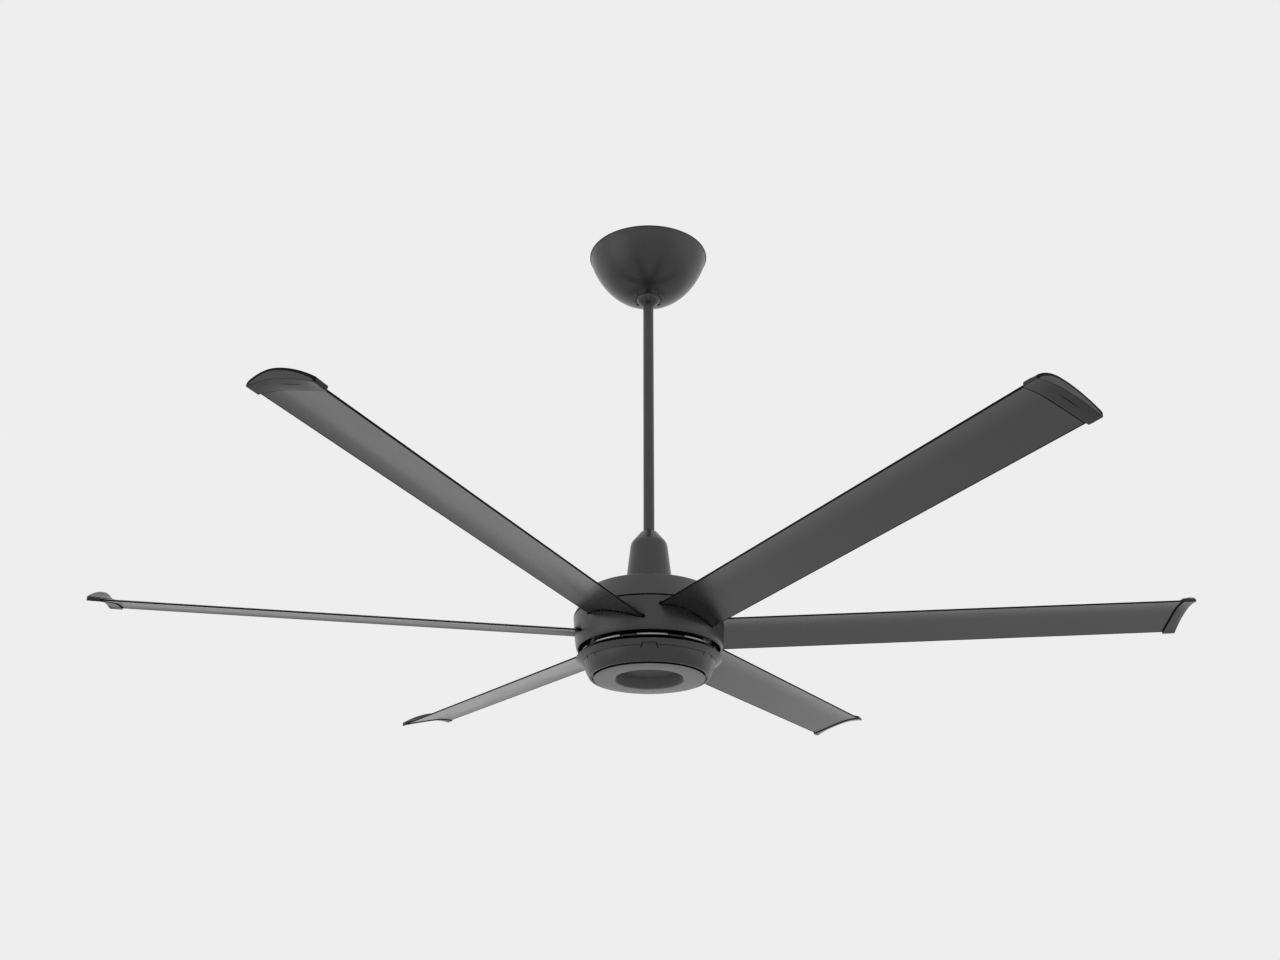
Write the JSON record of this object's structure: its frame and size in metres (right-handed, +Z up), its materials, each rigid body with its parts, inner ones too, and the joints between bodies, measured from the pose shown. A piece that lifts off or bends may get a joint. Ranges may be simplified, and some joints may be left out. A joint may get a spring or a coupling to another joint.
{
  "type": "outdoor ceiling fan",
  "caption": "Downrod ceiling fan with slim pitched aluminium blades, upturned tip caps, domed canopy, bell cover and chamfered round motor housing, matte black.",
  "frame": {"origin": "centre of the hanging bracket's face against the ceiling, on the fan's axis", "axes": "+Z up into the ceiling, the fan hangs towards -Z; +X is right and the picture's camera looks from -Y"},
  "size_m": [1.8302, 1.672, 0.8194],
  "materials": {
    "black_coat": "matte black powder coat on steel",
    "black_coat_aluminium": "matte black powder coat on extruded aluminium",
    "graphite_coat": "satin graphite coat",
    "zinc_steel": "zinc plated, dull",
    "bearing_steel": "ground and polished",
    "lamination_steel": "oxidised sheet edges",
    "bare_aluminium": "cast, with machined lands",
    "nickel_magnet": "nickel plated magnet blocks",
    "copper_wire": "enamelled copper",
    "brass_hardware": "turned brass",
    "black_nylon": "fine matte moulding",
    "ivory_plastic": "moulded ivory",
    "green_board": "solder mask",
    "green_paint": "green passivated screw"
  },
  "bodies": {
    "ceiling_mount": {"mounting_bracket": "zinc_steel", "ball_socket": "black_coat", "canopy": "black_coat", "canopy_clip": "black_coat", "terminal_block": "ivory_plastic", "ground_screw": "green_paint"},
    "ball_seat": {"ball_seat": "black_nylon"},
    "hanger": {"hanger_ball": "black_coat", "ball_cross_pin": "zinc_steel", "ball_grub_screw": "zinc_steel", "downrod": "black_coat", "coupling_pin": "zinc_steel", "pin_clip": "zinc_steel", "coupling_grub_screws": "zinc_steel", "motor_coupling": "zinc_steel", "bell_cover": "black_coat", "foot_screws": "zinc_steel", "top_cover": "black_coat", "motor_shaft": "zinc_steel", "shaft_spacers": "zinc_steel", "upper_bearing_inner": "bearing_steel", "lower_bearing_inner": "bearing_steel", "stator_core": "lamination_steel", "stator_carrier": "bare_aluminium", "stator_windings": "copper_wire", "shaft_nut": "zinc_steel", "motor_pan": "black_coat", "lower_cover": "black_coat", "bottom_plate": "graphite_coat", "centre_disc": "black_coat", "controller_board": "green_board", "board_components": "black_nylon", "board_standoffs": "brass_hardware"},
    "rotor": {"hub_ring": "black_coat", "ring_screws": "zinc_steel", "upper_housing": "bare_aluminium", "lower_housing": "bare_aluminium", "housing_screws": "zinc_steel", "rotor_magnets": "nickel_magnet", "upper_bearing_outer": "bearing_steel", "lower_bearing_outer": "bearing_steel", "bearing_balls": "bearing_steel", "blade_spider": "zinc_steel", "blade_screws": "zinc_steel", "airfoil_1": "black_coat_aluminium", "airfoil_2": "black_coat_aluminium", "airfoil_3": "black_coat_aluminium", "airfoil_4": "black_coat_aluminium", "airfoil_5": "black_coat_aluminium", "airfoil_6": "black_coat_aluminium", "tip_cap_1": "black_nylon", "tip_cap_2": "black_nylon", "tip_cap_3": "black_nylon", "tip_cap_4": "black_nylon", "tip_cap_5": "black_nylon", "tip_cap_6": "black_nylon"}
  },
  "joints": [
    {"name": "tilt_x", "type": "hinge", "parent": "ceiling_mount", "child": "ball_seat", "pos_m": [0, 0, -0.083], "axis": [1, 0, 0], "range_deg": [-20, 20]},
    {"name": "tilt_y", "type": "hinge", "parent": "ball_seat", "child": "hanger", "pos_m": [0, 0, -0.083], "axis": [0, 1, 0], "range_deg": [-20, 20]},
    {"name": "rotor_spin", "type": "hinge", "parent": "hanger", "child": "rotor", "pos_m": [0, 0, -0.745], "axis": [0, 0, -1], "continuous": true}
  ]
}
